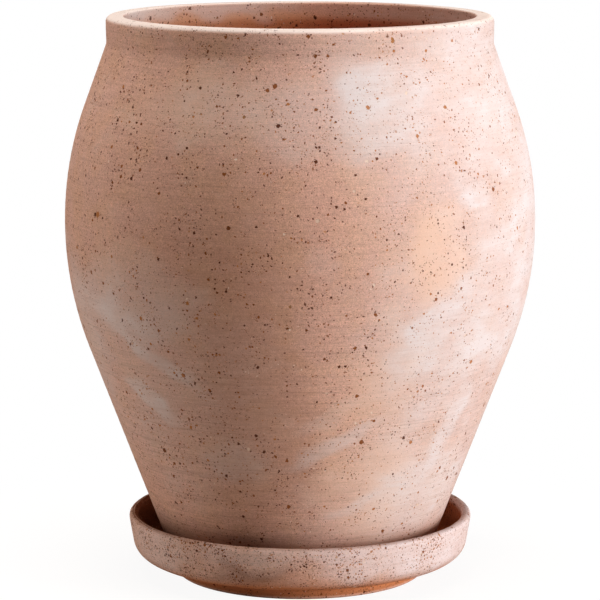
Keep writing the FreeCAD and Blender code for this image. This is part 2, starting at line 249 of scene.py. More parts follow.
@dataclass
class TurnedPiece:
    """A clay piece turned about the upright axis: a section, what unevenness it has and its marks."""

    name: str
    node: str
    body: str
    slot: str
    divisions: int = 288
    patches: list[Patch] = field(default_factory=list)

    def corners(self) -> list[Corner]:
        """The section's corners, in order, with the clay on the left."""
        raise NotImplementedError

    def closed(self) -> bool:
        """Whether the section goes round a central hole, so that the surface has no poles."""
        raise NotImplementedError

    def thinning(self, radius: np.ndarray, height: np.ndarray, turn: np.ndarray) -> np.ndarray:
        """How far the surface falls short of the section, towards the axis."""
        raise NotImplementedError

    def place_masks(self, radius: np.ndarray, height: np.ndarray) -> dict[Mask, np.ndarray]:
        """The masks that follow from where on the section a point is."""
        raise NotImplementedError

    def build(self) -> bpy.types.Object:
        """Makes the mesh and its mask attributes.

        The point for share i of the section and turn a lies at (r sin a, -r cos a, z), where r and z
        are the section's radius and height there, less the thinning. The turns start at the back.

        Returns:
            The finished object, at the origin.
        """
        section = divided_section(self.corners(), self.closed())
        turn = np.linspace(0.0, 2.0 * math.pi, self.divisions, endpoint=False) + math.pi
        radius = np.repeat(section[:, :1], self.divisions, axis=1)
        height = np.repeat(section[:, 1:], self.divisions, axis=1)
        turns = np.repeat(turn[None, :], len(section), axis=0)
        thinned = radius - self.thinning(radius, height, turns)
        points = np.stack([thinned * np.sin(turns), -thinned * np.cos(turns), height], axis=-1)
        made = make_mesh(self.name, self.vertices(points), *self.faces(len(section)))
        for mask, value in self.marked(radius, height, turns).items():
            attribute = made.data.attributes.new(mask.value, "FLOAT", "POINT")
            attribute.data.foreach_set("value", np.clip(self.vertices(value), 0.0, 1.0).astype(np.float32))
        log.info("%s: %d rings of %d points", self.name, len(section), self.divisions)
        return made

    def marked(self, radius: np.ndarray, height: np.ndarray, turn: np.ndarray) -> dict[Mask, np.ndarray]:
        """The masks of the piece with its patches added, on the outside or inside as each one says.

        Args:
            radius: Distance of the points from the axis.
            height: Heights of the points.
            turn: Angles of the points about the axis in radians.

        Returns:
            The value of each mask at every point.
        """
        masks = self.place_masks(radius, height)
        outside = 1.0 - masks[Mask.INSIDE]
        inside = np.ceil(masks[Mask.INSIDE])
        along, up = WARP * WARP_ALONG.at(turn, height), WARP * WARP_UP.at(turn, height)
        azimuth = np.degrees(turn + along / np.maximum(radius, WARP_RADIUS))
        for patch in self.patches:
            side = inside if patch.inner else outside
            masks[patch.mask] = masks[patch.mask] + side * patch.worth(radius, azimuth, height + up)
        return masks

    def vertices(self, values: np.ndarray) -> np.ndarray:
        """Values of the grid's points in one row per vertex. A ring on the axis is one vertex.

        Args:
            values: Values by ring and turn.

        Returns:
            The rows, from the first ring to the last.
        """
        if self.closed():
            return values.reshape(-1, *values.shape[2:])
        rings = values[1:-1].reshape(-1, *values.shape[2:])
        return np.concatenate([values[0, :1], rings, values[-1, :1]])

    def faces(self, rings: int) -> tuple[np.ndarray, np.ndarray]:
        """Quads between neighbouring rings, and fans of triangles round the poles if there are any.

        Args:
            rings: How many points the section has.

        Returns:
            Vertex numbers of the quads and of the triangles.
        """
        grid = np.arange(rings * self.divisions).reshape(rings, self.divisions)
        if self.closed():
            grid = np.concatenate([grid, grid[:1]])
            fans = np.empty((0, 3), int)
        else:
            grid = grid[1:-1] - self.divisions + 1
            first, last = grid[0], grid[-1]
            poles = np.full((2, self.divisions), [[0], [last[-1] + 1]])
            fans = np.concatenate([np.stack([poles[0], np.roll(first, -1), first], axis=-1),
                                   np.stack([poles[1], last, np.roll(last, -1)], axis=-1)])
        low, high = grid[:-1], grid[1:]
        quads = np.stack([low, np.roll(low, -1, axis=1), np.roll(high, -1, axis=1), high], axis=-1)
        return quads.reshape(-1, 4), fans

    def dress(self, made: bpy.types.Object, finish: "ClayFinish") -> None:
        """Gives the piece its finish and says what it rides on and stands for.

        Args:
            made: The piece.
            finish: Its clay.
        """
        made.data.materials.append(finish.material())
        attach(made, self.body)
        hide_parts(self.node)


def make_mesh(name: str, vertices: np.ndarray, quads: np.ndarray,
              triangles: np.ndarray) -> bpy.types.Object:
    """A smooth-shaded mesh object from arrays of points and faces.

    Args:
        name: Name of the object and its mesh.
        vertices: Points, one row each.
        quads: Vertex numbers of the four-sided faces, one row each.
        triangles: Vertex numbers of the three-sided faces, one row each.

    Returns:
        The object, linked to the scene.
    """
    mesh = bpy.data.meshes.new(name)
    loops = np.concatenate([quads.ravel(), triangles.ravel()])
    starts = np.concatenate([4 * np.arange(len(quads)), quads.size + 3 * np.arange(len(triangles))])
    mesh.vertices.add(len(vertices))
    mesh.vertices.foreach_set("co", vertices.astype(np.float32).ravel())
    mesh.loops.add(len(loops))
    mesh.loops.foreach_set("vertex_index", loops.astype(np.int32))
    mesh.polygons.add(len(starts))
    mesh.polygons.foreach_set("loop_start", starts.astype(np.int32))
    mesh.update(calc_edges=True)
    mesh.validate()
    mesh.shade_smooth()
    made = bpy.data.objects.new(name, mesh)
    bpy.context.scene.collection.objects.link(made)
    return made


# Shader maths

class Wire:
    """One output of a node. Arithmetic on it adds Math nodes to the same tree."""

    def __init__(self, bench: "Workbench", socket: bpy.types.NodeSocket) -> None:
        """Wraps a socket of a bench's tree."""
        self.bench, self.socket = bench, socket

    def math(self, operation: str, *terms: "Wire | float", clamp: bool = False) -> "Wire":
        """Adds a Math node.

        Args:
            operation: The node's operation.
            terms: Its inputs in order, wires or numbers.
            clamp: Whether the result is kept between 0 and 1.

        Returns:
            The node's value.
        """
        settings = {"operation": operation, "use_clamp": clamp}
        return self.bench.node("ShaderNodeMath", settings, dict(enumerate(terms)))

    def __add__(self, other: "Wire | float") -> "Wire":
        """Sum."""
        return self.math("ADD", self, other)

    def __radd__(self, other: float) -> "Wire":
        """Sum with a number in front."""
        return self.math("ADD", other, self)

    def __sub__(self, other: "Wire | float") -> "Wire":
        """Difference."""
        return self.math("SUBTRACT", self, other)

    def __rsub__(self, other: float) -> "Wire":
        """Difference from a number."""
        return self.math("SUBTRACT", other, self)

    def __mul__(self, other: "Wire | float") -> "Wire":
        """Product."""
        return self.math("MULTIPLY", self, other)

    def __rmul__(self, other: float) -> "Wire":
        """Product with a number in front."""
        return self.math("MULTIPLY", other, self)

    def __truediv__(self, other: "Wire | float") -> "Wire":
        """Quotient."""
        return self.math("DIVIDE", self, other)

    def most(self, other: "Wire | float") -> "Wire":
        """The larger of the two."""
        return self.math("MAXIMUM", self, other)

    def least(self, other: "Wire | float") -> "Wire":
        """The smaller of the two."""
        return self.math("MINIMUM", self, other)

    def share(self) -> "Wire":
        """The value kept between 0 and 1."""
        return self.math("ADD", self, 0.0, clamp=True)

    def step(self, start: "Wire | float", end: "Wire | float") -> "Wire":
        """A smooth step from 0 at start to 1 at end, which may be the smaller one."""
        return self.bench.node("ShaderNodeMapRange", {"interpolation_type": "SMOOTHSTEP"},
                               {"Value": self, "From Min": start, "From Max": end}, "Result")


Colour = tuple[float, float, float]


class Workbench:
    """The node tree of a material or world, with the few ways in which nodes are added to it."""

    def __init__(self, owner: bpy.types.Material | bpy.types.World) -> None:
        """Empties the owner's tree."""
        owner.use_nodes = True
        self.tree = owner.node_tree
        self.tree.nodes.clear()

    def add(self, kind: str, settings: dict[str, object],
            sockets: dict[str | int, object]) -> bpy.types.Node:
        """Adds any node.

        Args:
            kind: Blender's name of the node type.
            settings: The node's own properties, set first. Stops are a colour ramp's positions and colours.
            sockets: Wires or values of its inputs, by their names or numbers. Colours have three values.

        Returns:
            The node.
        """
        node = self.tree.nodes.new(kind)
        for name, value in settings.items():
            if name == "stops":
                elements = node.color_ramp.elements
                while len(elements) < len(value):
                    elements.new(1.0)
                for element, (position, colour) in zip(elements, value):
                    element.position, element.color = position, (*colour, 1.0)
            else:
                setattr(node, name, value)
        for name, term in sockets.items():
            socket = node.inputs[name]
            if isinstance(term, Wire):
                self.tree.links.new(term.socket, socket)
            else:
                socket.default_value = (*term, 1.0) if socket.type == "RGBA" else term
        return node

    def node(self, kind: str, settings: dict[str, object], sockets: dict[str | int, object],
             output: str | int = 0) -> Wire:
        """Adds any node, as add does, and returns one of its outputs by name or number."""
        return Wire(self, self.add(kind, settings, sockets).outputs[output])

    def place(self) -> Wire:
        """Object coordinates."""
        return self.node("ShaderNodeTexCoord", {}, {}, "Object")

    def rise(self, place: Wire) -> Wire:
        """Height of a place."""
        return self.node("ShaderNodeSeparateXYZ", {}, {"Vector": place}, "Z")

    def mask(self, mask: Mask) -> Wire:
        """A point attribute of the mesh."""
        return self.node("ShaderNodeAttribute", {"attribute_name": mask.value}, {}, "Fac")

    def blend(self, share: Wire, first: Wire | Colour, second: Wire | Colour) -> Wire:
        """A mix of two colours, which is the second one where the share is 1."""
        return self.node("ShaderNodeMix", {"data_type": "RGBA", "clamp_factor": True},
                         {0: share, 6: first, 7: second}, 2)

    def scaled(self, colour: Wire | Colour, gain: Wire) -> Wire:
        """A colour made lighter or darker by a number."""
        return self.node("ShaderNodeVectorMath", {"operation": "SCALE"}, {0: colour, "Scale": gain})

    def mixed(self, share: Wire, first: Wire, second: Wire) -> Wire:
        """A mix of two shaders, which is the second one where the share is 1."""
        return self.node("ShaderNodeMixShader", {}, {0: share, 1: first, 2: second})

    def surface(self, shader: Wire, target: str = "ShaderNodeOutputMaterial") -> None:
        """Puts a shader on the owner's surface, by the output node of the given type."""
        self.add(target, {}, {"Surface": shader})


@dataclass(frozen=True)
class Noise:
    """Cloudy noise in space, about 0.5 on the whole.

    The scale says how often it repeats in a metre: alike every way, or along each axis after the
    pattern has been leant about Y by an angle in degrees. A contrast is the span of the noise that
    a smooth step spreads out from 0 to 1.
    """

    scale: float | tuple[float, float, float]
    detail: float
    roughness: float = 0.5
    lean: float = 0.0
    contrast: tuple[float, float] | None = None

    def over(self, place: Wire, output: str = "Fac") -> Wire:
        """Lays the noise over a surface.

        Args:
            place: Coordinates on it.
            output: The noise node's output: Fac is a value and Color is three of them.

        Returns:
            The noise at each place.
        """
        bench, scale = place.bench, self.scale
        if isinstance(scale, tuple):
            turned = bench.node("ShaderNodeMapping", {"vector_type": "POINT"},
                                {"Vector": place, "Rotation": (0.0, math.radians(self.lean), 0.0)})
            place = bench.node("ShaderNodeVectorMath", {"operation": "MULTIPLY"}, {0: turned, 1: scale})
            scale = 1.0
        sockets = {"Vector": place, "Scale": scale, "Detail": self.detail, "Roughness": self.roughness}
        noise = bench.node("ShaderNodeTexNoise", {"noise_dimensions": "3D"}, sockets, output)
        return noise.step(*self.contrast) if self.contrast else noise


# Finishes

# The turning lines are three noises, drawn out round the pot and tight in height, each with its
# share. Scores are single deeper lines.
TURNING_LINES = (
    (Noise((34.0, 34.0, 900.0), 3.0, 0.6), 0.55),
    (Noise((30.0, 30.0, 620.0), 2.0, 0.6, lean=5.0), 0.30),
    (Noise((14.0, 14.0, 190.0), 2.0, 0.5, lean=-1.5), 0.15),
)
LINE_CONTRAST = (0.30, 0.70)
SCORES = Noise((7.0, 7.0, 780.0), 1.0, 0.5, lean=-0.8, contrast=(0.60, 0.68))
SAND = Noise(1150.0, 2.0, 0.7)
GRIT = Noise(420.0, 3.0, 0.65)
DULLNESS = Noise(90.0, 2.0)
PINK_CLOUDS = Noise(9.0, 3.0, 0.55, contrast=(0.35, 0.65))
OCHRE_CLOUDS = Noise(34.0, 3.0, 0.6, contrast=(0.38, 0.68))
FILM_FRAYS = Noise((55.0, 55.0, 150.0), 4.0, 0.65)
FILM_CLOUDS = Noise((24.0, 24.0, 34.0), 5.0, 0.62, lean=12.0)
FILM_CONTRAST = (0.28, 0.70)
TINGE_CONTRAST = (0.05, 0.95)
CROWDS = Noise(46.0, 3.0, 0.65, contrast=(0.30, 0.72))

# The specks' edges are pushed about by noise, so that no grain is round
RAGGED_EDGES = Noise(700.0, 2.0, 0.6)
RAGGED = 0.0026


@dataclass(frozen=True)
class Specks:
    """One size of grog and iron specks: cells of a 3-D Voronoi pattern with a grain in some of them."""

    cell: float
    grain: float
    common: float
    depth: float
    smallest: float = 0.3
    edge: float = 0.82
    blur: float = 0.02

    def paint(self, place: Wire, crowd: Wire) -> tuple[Wire, Wire]:
        """Where the grains show on the surface, and which kind each is.

        A grain shows where the distance to its cell's point is under its own size, which is drawn
        for each cell and grows with the crowd value. The share of cells that is common have a grain.

        Args:
            place: Object coordinates, already a little ragged.
            crowd: How thickly the specks lie, about 1 on the whole.

        Returns:
            The mask of the grains and a number from 0 to 1 that is drawn for each grain.
        """
        bench = place.bench
        pattern = bench.add("ShaderNodeTexVoronoi", {"voronoi_dimensions": "3D", "feature": "F1"},
                            {"Vector": place, "Scale": 1.0 / self.cell})
        drawn = bench.add("ShaderNodeSeparateColor", {}, {"Color": Wire(bench, pattern.outputs["Color"])})
        size, kind, chance = (Wire(bench, drawn.outputs[name]) for name in ("Red", "Green", "Blue"))
        present = chance.step(self.common + self.blur, self.common - self.blur)
        limit = (size * (1.0 - self.smallest) + self.smallest) * crowd * (self.grain / self.cell)
        distance = Wire(bench, pattern.outputs["Distance"])
        return distance.step(limit, limit * self.edge) * present, kind


@dataclass(frozen=True)
class Chip:
    """A single grain that stands out on a piece's outer wall. Edge and pit are shares of its size."""

    azimuth: float
    height: float
    size: float
    colour: Colour
    edge: float = 0.75
    pit: float = 0.2


@dataclass(frozen=True)
class Film:
    """A film on the clay: its colour, and its cover, of which a part follows the fraying noise."""

    colour: Colour
    frayed: float
    plain: float

    def cover(self, mask: Wire, frays: Wire) -> Wire:
        """How much of the clay it hides, from 0 to 1."""
        return (mask * (frays * self.frayed + self.plain)).share()


@dataclass(frozen=True)
class ClayFinish:
    """Unglazed sandy clay with turning lines, specks, pits and a chalky film, and the painted light and
    shade that its films carry.
    """

    name: str
    body: Colour = (0.64, 0.361, 0.270)
    body_pink: Colour = (0.66, 0.391, 0.306)
    body_ochre: Colour = (0.66, 0.381, 0.256)
    ochre_share: float = 0.6
    # The bloom's pale colour is also painted light on the sides that face the key lamp
    bloom: Colour = (0.74, 0.645, 0.625)
    warm: Colour = (0.81, 0.500, 0.345)
    hollow: Colour = (0.70, 0.255, 0.115)
    hollow_share: float = 0.9
    # The stain's colour is also painted shade
    stain: Film = Film((0.37, 0.160, 0.082), 1.2, 0.4)
    # The lip's pale colour is also painted light on the saucer's foot edge
    lip: Film = Film((0.90, 0.755, 0.685), 0.8, 0.65)
    bare: Film = Film((0.78, 0.35, 0.155), 0.5, 0.85)
    grain_dark: Colour = (0.098, 0.022, 0.006)
    grain_rust: Colour = (0.26, 0.076, 0.018)
    grain_ochre: Colour = (0.50, 0.19, 0.060)
    grain_pale: Colour = (0.80, 0.62, 0.50)
    roughness: float = 0.92
    roughness_span: float = 0.14
    specular: float = 0.22
    line_depth: float = 0.00007
    line_tone: float = 0.24
    score_depth: float = 0.45
    lined_fall: tuple[float, float] = (0.25, 0.16)
    lined_above: float = 0.70
    lined_below: float = 1.25
    sand_depth: float = 0.000105
    sand_tone: float = 1.10
    grit_depth: float = 0.00018
    grit_tone: float = 0.55
    crowd_span: tuple[float, float] = (0.57, 1.32)
    crowded_rise: tuple[float, float] = (0.20, 0.25)
    crowded_fall: tuple[float, float] = (0.36, 0.31)
    crowding: float = -0.08
    veiled_and_lit: float = 0.08
    chips: tuple[tuple[Vector, Chip], ...] = ()
    specks: tuple[Specks, ...] = (
        Specks(cell=0.0015, grain=0.00044, common=0.72, depth=0.00006),
        Specks(cell=0.0027, grain=0.00088, common=0.76, depth=0.00011),
        Specks(cell=0.0072, grain=0.00155, common=0.88, depth=0.00020),
        Specks(cell=0.0165, grain=0.00230, common=0.50, depth=0.00030),
    )

    def material(self) -> bpy.types.Material:
        """Builds the finish.

        Returns:
            The material.
        """
        material = bpy.data.materials.new(self.name)
        bench = Workbench(material)
        place = bench.place()
        masks = {mask: bench.mask(mask) for mask in Mask}
        lines, sand, grit = self.lines(place), SAND.over(place), GRIT.over(place)
        colour = self.clay(place, lines, sand, grit)
        colour = self.film(place, masks, colour, lines)
        colour, pits = self.speckle(place, masks, colour)
        height = lines * self.line_depth + sand * self.sand_depth + grit * self.grit_depth - pits
        bump = {"Height": height, "Distance": 1.0, "Strength": 1.0}
        normal = bench.node("ShaderNodeBump", {}, bump, "Normal")
        lowest = self.roughness - self.roughness_span / 2.0
        rough = (DULLNESS.over(place) * self.roughness_span + lowest).share()
        shader = bench.node("ShaderNodeBsdfPrincipled", {},
                            {"Base Color": colour, "Roughness": rough, "Normal": normal,
                             "Specular IOR Level": self.specular}, "BSDF")
        bench.surface(shader)
        return material

    def lines(self, place: Wire) -> Wire:
        """Turning lines, which are stronger low down, and scores.

        Args:
            place: Object coordinates.

        Returns:
            A value about 0.5 on the whole, and lower in a furrow.
        """
        even = sum(noise.over(place) * share for noise, share in TURNING_LINES).step(*LINE_CONTRAST)
        low = place.bench.rise(place).step(*self.lined_fall)
        strong = low * (self.lined_below - self.lined_above) + self.lined_above
        return (even - 0.5 - SCORES.over(place) * self.score_depth) * strong + 0.5

    def clay(self, place: Wire, lines: Wire, sand: Wire, grit: Wire) -> Wire:
        """The clay's own colour, cloudy from pink to ochre, with the lines and the sand in it.

        Args:
            place: Object coordinates.
            lines: The turning lines.
            sand: The finest noise.
            grit: Coarser noise.

        Returns:
            The colour.
        """
        bench = place.bench
        colour = bench.blend(PINK_CLOUDS.over(place), self.body, self.body_pink)
        colour = bench.blend(OCHRE_CLOUDS.over(place) * self.ochre_share, colour, self.body_ochre)
        gain = lines * self.line_tone + (1.0 - self.line_tone * 0.5)
        gain = gain * ((sand - 0.5) * self.sand_tone + 1.0) * ((grit - 0.5) * self.grit_tone + 1.0)
        return bench.scaled(colour, gain)

    def film(self, place: Wire, masks: dict[Mask, Wire], colour: Wire, lines: Wire) -> Wire:
        """The films on the clay: lime bloom with painted light, ochre tinge, stains with painted shade,
        worn lip with painted light, the hollow, which holds painted shade in the saucer's dish, and bare
        foot.

        Bloom and tinge are thicker and thinner in clouds, and a little of both strays over the whole
        outside. The bloom's cover is the mask times a value of which the clouds, the fraying noise and
        neither have a part each, and it is thinner in the furrows.

        Args:
            place: Object coordinates.
            masks: The piece's masks.
            colour: The colour of the clay.
            lines: The turning lines.

        Returns:
            The colour with the films.
        """
        frays, clouds = FILM_FRAYS.over(place), FILM_CLOUDS.over(place)
        clouded, frayed, plain = 0.34, 0.50, 0.36
        patchy = clouds.step(*FILM_CONTRAST) * clouded + frays * frayed + plain
        stray_from, stray_share, stray_kept_off = 0.56, 1.1, 0.9
        kept_off = (masks[Mask.INSIDE] + masks[Mask.BARE]).share() * stray_kept_off
        stray = (clouds - stray_from).most(0.0) * (stray_share - kept_off)
        stray_strength, furrowed, level = 0.8, 0.24, 0.85
        bloom = (masks[Mask.BLOOM] * patchy + stray * stray_strength) * (lines * furrowed + level)
        cloudy_outside, less_inside, tinge_share = 0.8, 0.6, 0.8
        cloudy = (clouds - 0.5) * (cloudy_outside - masks[Mask.INSIDE] * less_inside)
        warm = (masks[Mask.WARM] + cloudy).step(*TINGE_CONTRAST) * tinge_share
        blend = place.bench.blend
        colour = blend(masks[Mask.INSIDE] * self.hollow_share, colour, self.hollow)
        colour = blend(warm, colour, self.warm)
        colour = blend(self.bare.cover(masks[Mask.BARE], frays), colour, self.bare.colour)
        # Painted light comes with the bloom and the worn lip, and painted shade with the hollow and the
        # stains
        colour = blend(bloom.share(), colour, self.bloom)
        colour = blend(self.stain.cover(masks[Mask.STAIN], frays), colour, self.stain.colour)
        return blend(self.lip.cover(masks[Mask.WEAR], frays), colour, self.lip.colour)

    def speckle(self, place: Wire, masks: dict[Mask, Wire], colour: Wire) -> tuple[Wire, Wire]:
        """Specks of every size over the clay, and the single grains. Grains in the bloom and its painted
        light are paler.

        Args:
            place: Object coordinates.
            masks: The piece's masks.
            colour: The colour below the specks.

        Returns:
            The colour with the specks, and the depth of their pits.
        """
        bench, spread = place.bench, (RAGGED, RAGGED, RAGGED)
        ragged = bench.node("ShaderNodeVectorMath", {"operation": "MULTIPLY_ADD"},
                            {0: RAGGED_EDGES.over(place, "Color"), 1: spread, 2: place})
        rise, veil_and_light = bench.rise(place), masks[Mask.BLOOM].share()
        fewest, most = self.crowd_span
        crowd = CROWDS.over(place) * (most - fewest) + fewest
        crowded = rise.step(*self.crowded_rise) * rise.step(*self.crowded_fall)
        crowd = crowd * (crowded * self.crowding + 1.0)
        crowd = crowd * (1.0 - veil_and_light * self.veiled_and_lit)
        stops = ((0.0, self.grain_dark), (0.42, self.grain_dark), (0.62, self.grain_rust),
                 (0.88, self.grain_rust), (0.94, self.grain_ochre), (0.985, self.grain_pale))
        # Grains are paler and fewer where the veil and its painted light lie, and show less on the worn lip
        # and the painted light of the foot's edge
        paler, palest, worn_and_lit, solid, dusted_and_lit = 0.45, 0.93, 0.4, 0.98, 0.06
        hiding = (1.0 - masks[Mask.WEAR] * worn_and_lit) * (solid - veil_and_light * dusted_and_lit)
        pits: Wire | float = 0.0
        for layer in self.specks:
            shown, kind = layer.paint(ragged, crowd)
            lit = (kind + veil_and_light * paler).least(kind.most(palest))
            grain = bench.node("ShaderNodeValToRGB", {"stops": stops}, {"Fac": lit}, "Color")
            colour = bench.blend(shown * hiding, colour, grain)
            pits = shown * layer.depth + pits
        for point, chip in self.chips:
            middle = point + Vector(spread) / 2.0
            away = bench.node("ShaderNodeVectorMath", {"operation": "DISTANCE"},
                              {0: ragged, 1: middle}, "Value")
            shown = away.step(chip.size, chip.size * chip.edge)
            colour = bench.blend(shown, colour, chip.colour)
            pits = shown * (chip.size * chip.pit) + pits
        return colour, pits


# The object

POT_UNROUND = Waves(3, (2, 3, 5), (9.0, -14.0, 6.0))
POT_RIDGES = Waves(5, (1, 2, 4, 3), (31.0, -45.0, 17.0, 70.0))
POT_LIP = Waves(11, (13, 29, 47, 71, 97), (300.0, -400.0, 250.0, 500.0, -350.0))
SAUCER_UNROUND = Waves(21, (2, 3, 4), (20.0, -25.0, 12.0))
SAUCER_LIP = Waves(23, (11, 23, 41, 67), (300.0, -400.0, 250.0, 500.0))


@dataclass
class Pot(TurnedPiece):
    """The flower pot: taper, belly, shoulder, creased neck, upright rim band and hollow."""

    base_radius: float = 0.1034
    base_edge: float = 0.003
    taper: float = 20.87
    shoulder: float = 20.09
    belly_share: float = 0.6187
    band_height: float = 0.0212
    rim_radius: float = 0.150
    rim_flare: float = 0.0006
    rim_wall: float = 0.014
    wall: float = 0.012
    floor: float = 0.015
    neck_round: float = 0.0116
    lip_outer_round: float = 0.0042
    lip_inner_round: float = 0.0017
    throat_depth: float = 0.0140
    throat_round: float = 0.020
    floor_round: float = 0.016
    drain_radius: float = 0.0125
    drain_round: float = 0.002
    hidden_step: float = 0.006
    margin: float = 0.0001
    even_below: float = 0.002
    uneven_above: float = 0.03
    even_floor: float = 3.0
    unroundness: float = 0.00022
    ridge_depth: float = 0.00009
    ridge_pitch: float = 0.0075
    lip_reach: float = 0.010
    lip_unevenness: float = 0.00028
    lip_wear: tuple[float, float] = (0.0036, 0.0010)
    lip_wear_from_mouth: tuple[float, float] = (0.0002, 0.0012)
    inside_from: float = 0.55
    band_fade: tuple[float, float] = (0.018, 0.008)
    band_paleness: float = 0.80
    # Painted shade on the pot's wall in the gap above the saucer's seat: where it fades and how strong it
    # is
    gap_shade_rise: tuple[float, float] = (0.038, 0.016)
    gap_shade_strength: float = 0.80

    def __post_init__(self) -> None:
        """Reads from the frame where the pot stands, how high it reaches and how wide its belly is."""
        low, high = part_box(self.node)
        self.seat, self.top = low.z, high.z
        self.belly_radius = min(high.x, high.y) - self.margin
        self.belly_height = self.seat + (self.top - self.seat) * self.belly_share

    def closed(self) -> bool:
        """The section goes round the drainage hole."""
        return True

    def corners(self) -> list[Corner]:
        """The section: up the outside, over the lip, down the hollow and through the drainage hole.

        The taper and the shoulder run on until they cross the belly's upright tangent, and the belly
        is the rounding of those two corners, which touch at its widest height. A wall w inside a
        corner that turns by t lies w tan(t / 2) further along.

        Returns:
            The corners, which go round once and aren't closed by a repeated one.
        """
        taper, shoulder = math.radians(self.taper), math.radians(self.shoulder)
        neck_radius, neck_height = self.rim_radius - self.rim_flare, self.top - self.band_height
        low = self.seat + (self.belly_radius - self.base_radius) / math.tan(taper)
        high = neck_height - (self.belly_radius - neck_radius) / math.tan(shoulder)
        low_round = (self.belly_height - low) / math.tan(taper / 2.0)
        high_round = (high - self.belly_height) / math.tan(shoulder / 2.0)
        mouth, inner = self.rim_radius - self.rim_wall, self.belly_radius - self.wall
        inner_low = low + self.wall * math.tan(taper / 2.0)
        inner_high = high - self.wall * math.tan(shoulder / 2.0)
        floor_height = self.seat + self.floor
        floor_edge = inner - (inner_low - floor_height) * math.tan(taper)
        return [
            Corner(self.base_radius, self.seat, self.base_edge),
            Corner(self.belly_radius, low, low_round),
            Corner(self.belly_radius, high, high_round),
            Corner(neck_radius, neck_height, self.neck_round, 0.0015),
            Corner(self.rim_radius, self.top, self.lip_outer_round, 0.001),
            Corner(mouth, self.top, self.lip_inner_round, 0.001),
            Corner(mouth, self.top - self.throat_depth, self.throat_round, 0.003),
            Corner(inner, inner_high, high_round - self.wall, self.hidden_step),
            Corner(inner, inner_low, low_round - self.wall, self.hidden_step),
            Corner(floor_edge, floor_height, self.floor_round, self.hidden_step),
            Corner(self.drain_radius, floor_height, self.drain_round, 0.003),
            Corner(self.drain_radius, self.seat, self.drain_round, self.hidden_step),
        ]

    def thinning(self, radius: np.ndarray, height: np.ndarray, turn: np.ndarray) -> np.ndarray:
        """A slightly unround wall, a spiral of soft turning ridges and an uneven lip.

        The ridges are cos(2 pi height / pitch - turn), so one ridge climbs by the pitch in each
        turn. Every part is 0 or more, so that clay is only taken away, and fades out at the seat
        and round the drainage hole.

        Args:
            radius: Distance of the points from the axis.
            height: Heights of the points.
            turn: Angles of the points about the axis in radians.

        Returns:
            How far each point moves towards the axis.
        """
        lifted = smooth_step(self.seat + self.even_below, self.seat + self.uneven_above, height)
        wide = smooth_step(self.drain_radius, self.drain_radius * self.even_floor, radius)
        unround = self.unroundness * (1.0 + POT_UNROUND.at(turn, height))
        faint = 0.5 + 0.5 * POT_RIDGES.at(turn, height)
        spiral = 1.0 + np.cos(2.0 * math.pi * height / self.ridge_pitch - turn)
        near_lip = smooth_step(self.top - self.lip_reach, self.top, height)
        rim = self.lip_unevenness * near_lip * (1.0 + POT_LIP.at(turn, height))
        return wide * lifted * (unround + self.ridge_depth * faint * spiral + rim)

    def place_masks(self, radius: np.ndarray, height: np.ndarray) -> dict[Mask, np.ndarray]:
        """Lip wear at the top edge, the hollow below it, painted shade above the seat where the saucer's
        wall shades the pot, and a bare base.

        Args:
            radius: Distance of the points from the axis.
            height: Heights of the points.

        Returns:
            The value of each mask at every point.
        """
        mouth = self.rim_radius - self.rim_wall
        at_top = smooth_step(*(self.top - depth for depth in self.lip_wear), height)
        on_lip = smooth_step(*(mouth + width for width in self.lip_wear_from_mouth), radius)
        outer = np.interp(height[:, 0], *self.outside_by_height())[:, None]
        within = radius < outer - self.wall * self.inside_from
        inside = within.astype(float) * (height > self.seat + self.floor / 2.0)
        band = smooth_step(*(self.top - depth for depth in self.band_fade), height)
        # Painted shade just above the seat, where the saucer's wall shades the pot
        gap_shade = smooth_step(*(self.seat + rise for rise in self.gap_shade_rise), height) * (1.0 - inside)
        return {Mask.BLOOM: np.zeros_like(radius),
                Mask.WARM: np.zeros_like(radius),
                Mask.STAIN: self.gap_shade_strength * gap_shade,
                Mask.WEAR: at_top * on_lip,
                Mask.INSIDE: inside * (1.0 - self.band_paleness * band),
                Mask.BARE: smooth_step(self.seat + self.even_below, self.seat, height)}

    def outside_by_height(self) -> tuple[np.ndarray, np.ndarray]:
        """The outer wall up to the lip, for telling inside from outside.

        Returns:
            Its heights in rising order, and its radii there.
        """
        line = divided_section(self.corners()[:5], False)
        order = np.argsort(line[:, 1])
        return line[order, 1], line[order, 0]

    def placed(self, chips: list[Chip]) -> tuple[tuple[Vector, Chip], ...]:
        """Puts single grains on the outer wall.

        Args:
            chips: The grains.

        Returns:
            Each grain's point and the grain.
        """
        radii = np.interp([chip.height for chip in chips], *self.outside_by_height())
        turns = [math.radians(chip.azimuth) for chip in chips]
        return tuple((Vector((radius * math.sin(turn), -radius * math.cos(turn), chip.height)), chip)
                     for radius, turn, chip in zip(radii, turns, chips))


